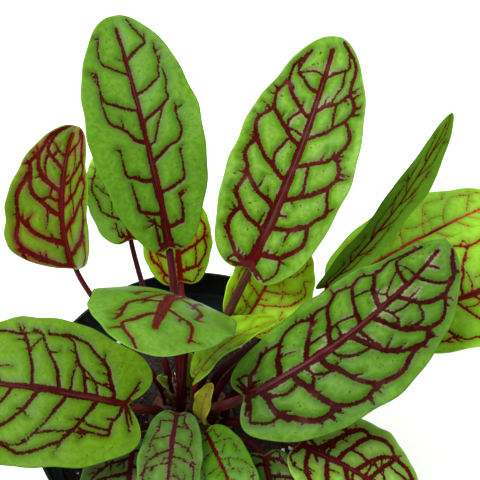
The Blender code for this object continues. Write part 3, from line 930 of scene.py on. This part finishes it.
def pot_finish():
    """Thin black plastic: satin, faintly blue-green, with dust and scuffs, and a painted blue-grey light on
    the inner wall just above the soil.
    """
    finish = Finish("pot_plastic")
    place = finish.place()
    height = finish.put("ShaderNodeSeparateXYZ", {0: place}, "Z")
    dust = finish.noise(place, 38.0, 5.0, 0.62)
    speck = finish.noise(place, 520.0, 2.0)
    stretched = finish.put("ShaderNodeMapping", {"Vector": place, "Scale": (1.0, 1.0, 0.12)})
    scuff = finish.spread(finish.noise(stretched, 210.0, 3.0, 0.7), 0.62, 0.72)
    black = finish.over(linear((8, 15, 16)), linear((18, 28, 30)), dust, 0.35, 0.7)
    black = finish.mix(finish.times(scuff, 0.25), black, linear((74, 82, 80)))
    flat = finish.put("ShaderNodeVectorMath", {0: place, 1: (1.0, 1.0, 0.0)}, operation="MULTIPLY")
    radius = finish.put("ShaderNodeVectorMath", {0: flat}, "Value", operation="LENGTH")
    slope = (wall_radius(10) - wall_radius(0)) / 10
    inside = finish.math("SUBTRACT", radius, finish.times(height, slope))
    inside = finish.spread(inside, (FOOT_RADIUS - 0.4 * WALL) * MM, (FOOT_RADIUS - 0.7 * WALL) * MM)
    # Painted light: a blue-grey glow on the inner wall just above the soil.
    painted_wall_light = finish.spread(height, (SOIL_TOP + 11) * MM, (SOIL_TOP + 2) * MM, 0.0, 0.6)
    black = finish.mix(finish.times(inside, painted_wall_light), black, linear((44, 62, 70)))
    grit = finish.times(finish.spread(speck, 0.63, 0.7), finish.spread(dust, 0.5, 0.66, 0.0, 0.5))
    low = finish.spread(height, (POT_HEIGHT - 1) * MM, SOIL_TOP * MM)
    black = finish.mix(finish.times(grit, low), black, linear((96, 84, 66)))
    roughness = finish.spread(dust, 0.3, 0.7, 0.34, 0.5)
    rough = finish.noise(place, 700.0, 3.0)
    return finish.coat(black, roughness, rough, 0.12, 0.0002, Specular_IOR_Level=0.4)


def soil_radius(height):
    return wall_radius(height) - WALL - 2 * GAP


def soil_height(x, y):
    """Height of the soil's crumbly top."""
    radius = math.hypot(x, y)
    edge = soil_radius(SOIL_TOP)
    mound = SOIL_MOUND * max(0.0, 1 - (radius / 45) ** 2) - 1.0 * smooth_step(radius, 38, edge)
    rough = noise.fractal(Vector((x, y, 3)) * 0.11, 1.0, 2.0, 5) * 1.6
    return SOIL_TOP + mound + rough * float(smooth_step(edge - radius, 0, 3) * 0.8 + 0.2) - 0.4


def grid_faces(rows, columns):
    """Quads of a ring grid whose columns close round."""
    index = np.arange(rows * columns).reshape(rows, columns)
    on = np.roll(index, -1, axis=1)
    return np.stack([index[:-1], index[1:], on[1:], on[:-1]], -1).reshape(-1, 4)


def ring(radius, height, angles):
    return [(radius * math.cos(angle), radius * math.sin(angle), height) for angle in angles]


def ring_mesh(name, rings):
    """A closed mesh whose rings run from the middle of its one end to the middle of the other."""
    points = np.array(rings).reshape(-1, 3)
    around = len(rings[0])
    caps = [list(range(around)), list(range(len(points) - around, len(points)))[::-1]]
    return plain_mesh(name, points, grid_faces(len(rings), around).tolist() + caps)


def make_soil():
    """The soil's body with a rough top, then loose crumbs, perlite and bits of bark on it."""
    around, across = 300, 44
    edge = soil_radius(SOIL_TOP)
    recess = CROWN_RADIUS + GAP
    foot = SOIL_TOP + SOIL_MOUND - CROWN_DEPTH - GAP
    bottom = FLOOR_RISE + WALL + GAP
    angles = np.arange(around) * 2 * math.pi / around
    top = []
    for radius in np.linspace(recess, edge, across):
        places = zip(radius * np.cos(angles), radius * np.sin(angles))
        top.append([(x, y, soil_height(x, y)) for x, y in places])
    under_crown = ((0.5, foot), (CROWN_RADIUS * 0.8 + GAP, foot))
    sides = ((soil_radius(WALL_MIDDLE), WALL_MIDDLE), (soil_radius(6.0), 6.0),
             (FOOT_RADIUS - FOOT_RING_WIDTH - 2.0, bottom), (0.5, bottom))
    inner, outer = ([ring(*place, angles) for place in places] for places in (under_crown, sides))
    mesh = ring_mesh("soil_fine", inner + top + outer)
    piece("soil_bed", mesh, soil_finish("soil_bed_finish"), "soil", "soil")
    scatter = scatter_tree()
    bare = np.array(top[:-2])
    bits = (  # name, how many, seed, least and greatest size, roughness, facets, finish, stretch
        ("soil_crumbs", 5200, 2, 0.5, 2.0, 0.8, 1, soil_finish("soil_crumb_finish"), (1, 1, 0.8)),
        ("perlite_grains", 60, 7, 1.2, 3.4, 1.4, 2, perlite_finish(), (1, 1, 0.8)),
        ("bark_bits", 260, 5, 0.7, 2.0, 0.7, 1, bark_finish(), (1.9, 0.6, 0.35)),
    )
    area = math.pi * (edge**2 - recess**2) * MM**2
    for name, count, seed, small, large, rough, facets, finish, stretch in bits:
        guide = plain_mesh(name + "_guide", bare.reshape(-1, 3), grid_faces(len(bare), around).tolist())
        sizes = {"Small": small * MM, "Large": large * MM, "Rough": rough * MM}
        mesh = grown(name, guide, scatter, Density=count / area, Seed=seed, Facets=facets, Stretch=stretch,
                     Finish=finish, **sizes)
        piece(name, mesh, None, "soil")


def scatter_tree():
    """Uneven lumps strewn over the guide, each turned and sized at random."""
    strewn = Growth("strewn_growth", Density="Float", Seed="Int", Small="Float", Large="Float",
                    Rough="Float", Facets="Int", Stretch="Vector", Finish="Material")
    given = strewn.given
    inputs = {"Mesh": given["Geometry"], "Density": given["Density"], "Seed": given["Seed"]}
    spots = strewn.put("GeometryNodeDistributePointsOnFaces", inputs, "Points")
    lump = strewn.put("GeometryNodeMeshIcoSphere", {"Radius": 0.5, "Subdivisions": given["Facets"]}, "Mesh")
    lump = strewn.put("GeometryNodeTransform", {"Geometry": lump, "Scale": given["Stretch"]})
    share = strewn.math("POWER", strewn.put("FunctionNodeRandomValue", {}, 1), 2.2)
    size = strewn.spread(share, 0.0, 1.0, given["Small"], given["Large"], "LINEAR")
    spin = strewn.put("FunctionNodeRandomValue", {1: (6.3, 6.3, 6.3)}, data_type="FLOAT_VECTOR")
    inputs = {"Points": spots, "Instance": lump, "Rotation": spin, "Scale": size}
    lumps = strewn.put("GeometryNodeInstanceOnPoints", inputs)
    lumps = strewn.put("GeometryNodeRealizeInstances", {"Geometry": lumps})
    here = strewn.put("GeometryNodeInputPosition", {})
    worn = strewn.noise(here, 700.0, 1.0, 0.5, 1)
    worn = strewn.put("ShaderNodeVectorMath", {0: worn, 1: (0.5, 0.5, 0.5)}, operation="SUBTRACT")
    worn = strewn.put("ShaderNodeVectorMath", {0: worn, "Scale": given["Rough"]}, operation="SCALE")
    return strewn.close(strewn.put("GeometryNodeSetPosition", {"Geometry": lumps, "Offset": worn}))


def soil_finish(name):
    """Dark peat, nearly black where damp."""
    finish = Finish(name)
    place = finish.place()
    damp = finish.noise(place, 60.0, 3.0)
    grain = finish.noise(place, 900.0, 4.0, 0.65)
    colour = finish.over(linear((16, 13, 12)), linear((56, 42, 32)), grain, 0.35, 0.7)
    colour = finish.over(colour, linear((26, 21, 18)), damp, 0.4, 0.6, 0.6)
    roughness = finish.spread(damp, 0.4, 0.6, 0.95, 0.7)
    return finish.coat(colour, roughness, grain, 0.6, 0.0006, Specular_IOR_Level=0.3)


def perlite_finish():
    finish = Finish("perlite_finish")
    place = finish.place()
    pits = finish.noise(place, 1500.0, 3.0, 0.6)
    stain = finish.noise(place, 160.0, 3.0)
    colour = finish.over(linear((232, 230, 222)), linear((176, 160, 136)), stain, 0.45, 0.7)
    return finish.coat(colour, 0.85, pits, 0.5, 0.0004)


def bark_finish():
    finish = Finish("bark_finish")
    fibre = finish.noise(finish.place(), 800.0, 3.0, 0.6)
    colour = finish.over(linear((58, 38, 26)), linear((128, 94, 62)), fibre, 0.35, 0.65)
    return finish.coat(colour, 0.8, fibre, 0.5, 0.0004)


def crown_surface(radius):
    return SOIL_TOP + SOIL_MOUND + CROWN_RISE * (1 - (radius / CROWN_RADIUS) ** 2)


def make_crown():
    """The lumpy rootstock, with old sheaths round the stalks' feet."""
    around, rows = 120, 26
    angles = np.arange(around) * 2 * math.pi / around
    rings = []
    for radius in np.linspace(0.4, CROWN_RADIUS, rows):
        row = []
        for angle in angles:
            x, y = radius * math.cos(angle), radius * math.sin(angle)
            lump = noise.fractal(Vector((x, y, 9)) * 0.2, 1.0, 2.0, 4) * 1.7
            row.append((x, y, crown_surface(radius) - 0.9 + lump * (1 - (radius / CROWN_RADIUS) ** 4)))
        rings.append(row)
    foot = SOIL_TOP + SOIL_MOUND - CROWN_DEPTH
    rings += [ring(radius, foot, angles) for radius in (CROWN_RADIUS * 0.8, 0.4)]
    piece("crown_root", ring_mesh("crown_fine", rings), crown_finish(), "crown", "crown")
    make_sheaths()


def make_sheaths():
    """A papery, torn sleeve round the foot of each stalk: the dry remains of the sheath it grew from."""
    draw = np.random.default_rng(5)
    points, faces = [], []
    rows, columns = 9, 14
    for leaf in LEAVES:
        line, _ = stalk_line(leaf)
        height = draw.uniform(4.0, 11.0)
        lengths = np.concatenate([[0], np.cumsum(np.linalg.norm(np.diff(line, axis=0), axis=1))])
        places = STALK_DEPTH - 1.5 + np.linspace(0, height, rows)
        centres = np.stack([np.interp(places, lengths, line[:, axis]) for axis in range(3)], 1)
        heading = unit(np.gradient(centres, axis=0))
        side = unit(np.cross(heading, (0.13, 0.99, 0.0)))
        other = np.cross(heading, side)
        opening = draw.uniform(0, 6.3)
        sweep = draw.uniform(2.6, 4.4)
        tear = draw.uniform(0.45, 1.0, columns)
        angle = opening + np.linspace(0, sweep, columns)
        for row in range(rows):
            share = row / (rows - 1)
            flare = foot_radius(leaf) + 0.35 + 0.9 * share**2 + 0.25 * np.sin(3 * angle + row * 0.4)
            drop = 1 - (1 - tear) * share
            centre = centres[0] + (centres[row] - centres[0]) * drop[:, None]
            rim = (np.cos(angle)[:, None] * side[row] + np.sin(angle)[:, None] * other[row]) * flare[:, None]
            points.append(centre + rim)
        index = np.arange(rows * columns).reshape(rows, columns) + (len(points) - rows) * columns
        corners = [index[:-1, :-1], index[:-1, 1:], index[1:, 1:], index[1:, :-1]]
        faces.append(np.stack(corners, -1).reshape(-1, 4))
    mesh = plain_mesh("sheaths_fine", np.vstack(points), np.vstack(faces).tolist())
    made = piece("crown_sheaths", mesh, sheath_finish(), "crown")
    sheet = made.modifiers.new("Thickness", "SOLIDIFY")
    sheet.thickness = SHEATH_THICKNESS * MM
    sheet.offset = 0.0


def crown_finish():
    finish = Finish("crown_root_finish")
    place = finish.place()
    fibre = finish.noise(place, 420.0, 4.0, 0.6)
    patch = finish.noise(place, 90.0, 3.0)
    colour = finish.over(linear((44, 22, 16)), linear((112, 62, 40)), fibre, 0.35, 0.68)
    colour = finish.over(colour, linear((96, 26, 30)), patch, 0.5, 0.66, 0.7)
    return finish.coat(colour, 0.75, fibre, 0.6, 0.0006)


def sheath_finish():
    finish = Finish("sheath_finish")
    stretched = finish.put("ShaderNodeMapping", {"Vector": finish.place(), "Scale": (1.0, 1.0, 0.2)})
    fibre = finish.noise(stretched, 900.0, 3.0, 0.6)
    patch = finish.noise(finish.place(), 120.0, 2.0)
    colour = finish.over(linear((98, 58, 40)), linear((168, 118, 84)), fibre, 0.35, 0.65)
    colour = finish.over(colour, linear((110, 34, 34)), patch, 0.5, 0.68, 0.7)
    return finish.coat(colour, 0.6, fibre, 0.4, 0.0002)


def make_leaves():
    tree = stalk_tree()
    for leaf in LEAVES:
        make_blade(leaf, LOOKS[leaf.name])
        make_stalk(leaf, LOOKS[leaf.name], tree)


def make_stage():
    """A white floor with a faint glow, a soft box high on the left, a weaker one behind and a white sky."""
    mesh = bpy.data.meshes.new("floor")
    side = FLOOR_SIDE / 2
    corners = [(-side, -side, 0), (side, -side, 0), (side, side, 0), (-side, side, 0)]
    mesh.from_pydata(corners, [], [(0, 1, 2, 3)])
    floor = placed("floor", mesh)
    paper = Finish("floor_paper")
    paper.set(Base_Color=linear((248, 248, 248)), Roughness=0.9)
    paper.set(Emission_Color=linear((255, 255, 255)), Emission_Strength=FLOOR_GLOW)
    mesh.materials.append(paper.material)
    for name, place, size, power in LIGHTS:
        light = bpy.data.lights.new(name, "AREA")
        light.energy = power
        light.size = size
        box = placed(name, light)
        box.location = place
        box.rotation_euler = (Vector(place) - Vector(LIGHTS_AIM)).to_track_quat("Z", "Y").to_euler()
    world = bpy.data.worlds.new("sky")
    world.use_nodes = True
    sky = world.node_tree.nodes["Background"].inputs
    sky[0].default_value = (1.0, 1.0, 1.0, 1.0)
    sky[1].default_value = SKY_STRENGTH
    bpy.context.scene.world = world
    bpy.context.scene.view_settings.view_transform = "Standard"
    camera = placed("camera", bpy.data.cameras.new("camera"))
    camera.data.lens = CAMERA_LENS
    camera.location = CAMERA_PLACE
    camera.rotation_euler = (math.radians(CAMERA_TILT), 0, 0)
    camera.data.clip_start = 0.01
    bpy.context.scene.camera = camera


make_stage()
make_pot()
make_soil()
make_crown()
make_leaves()
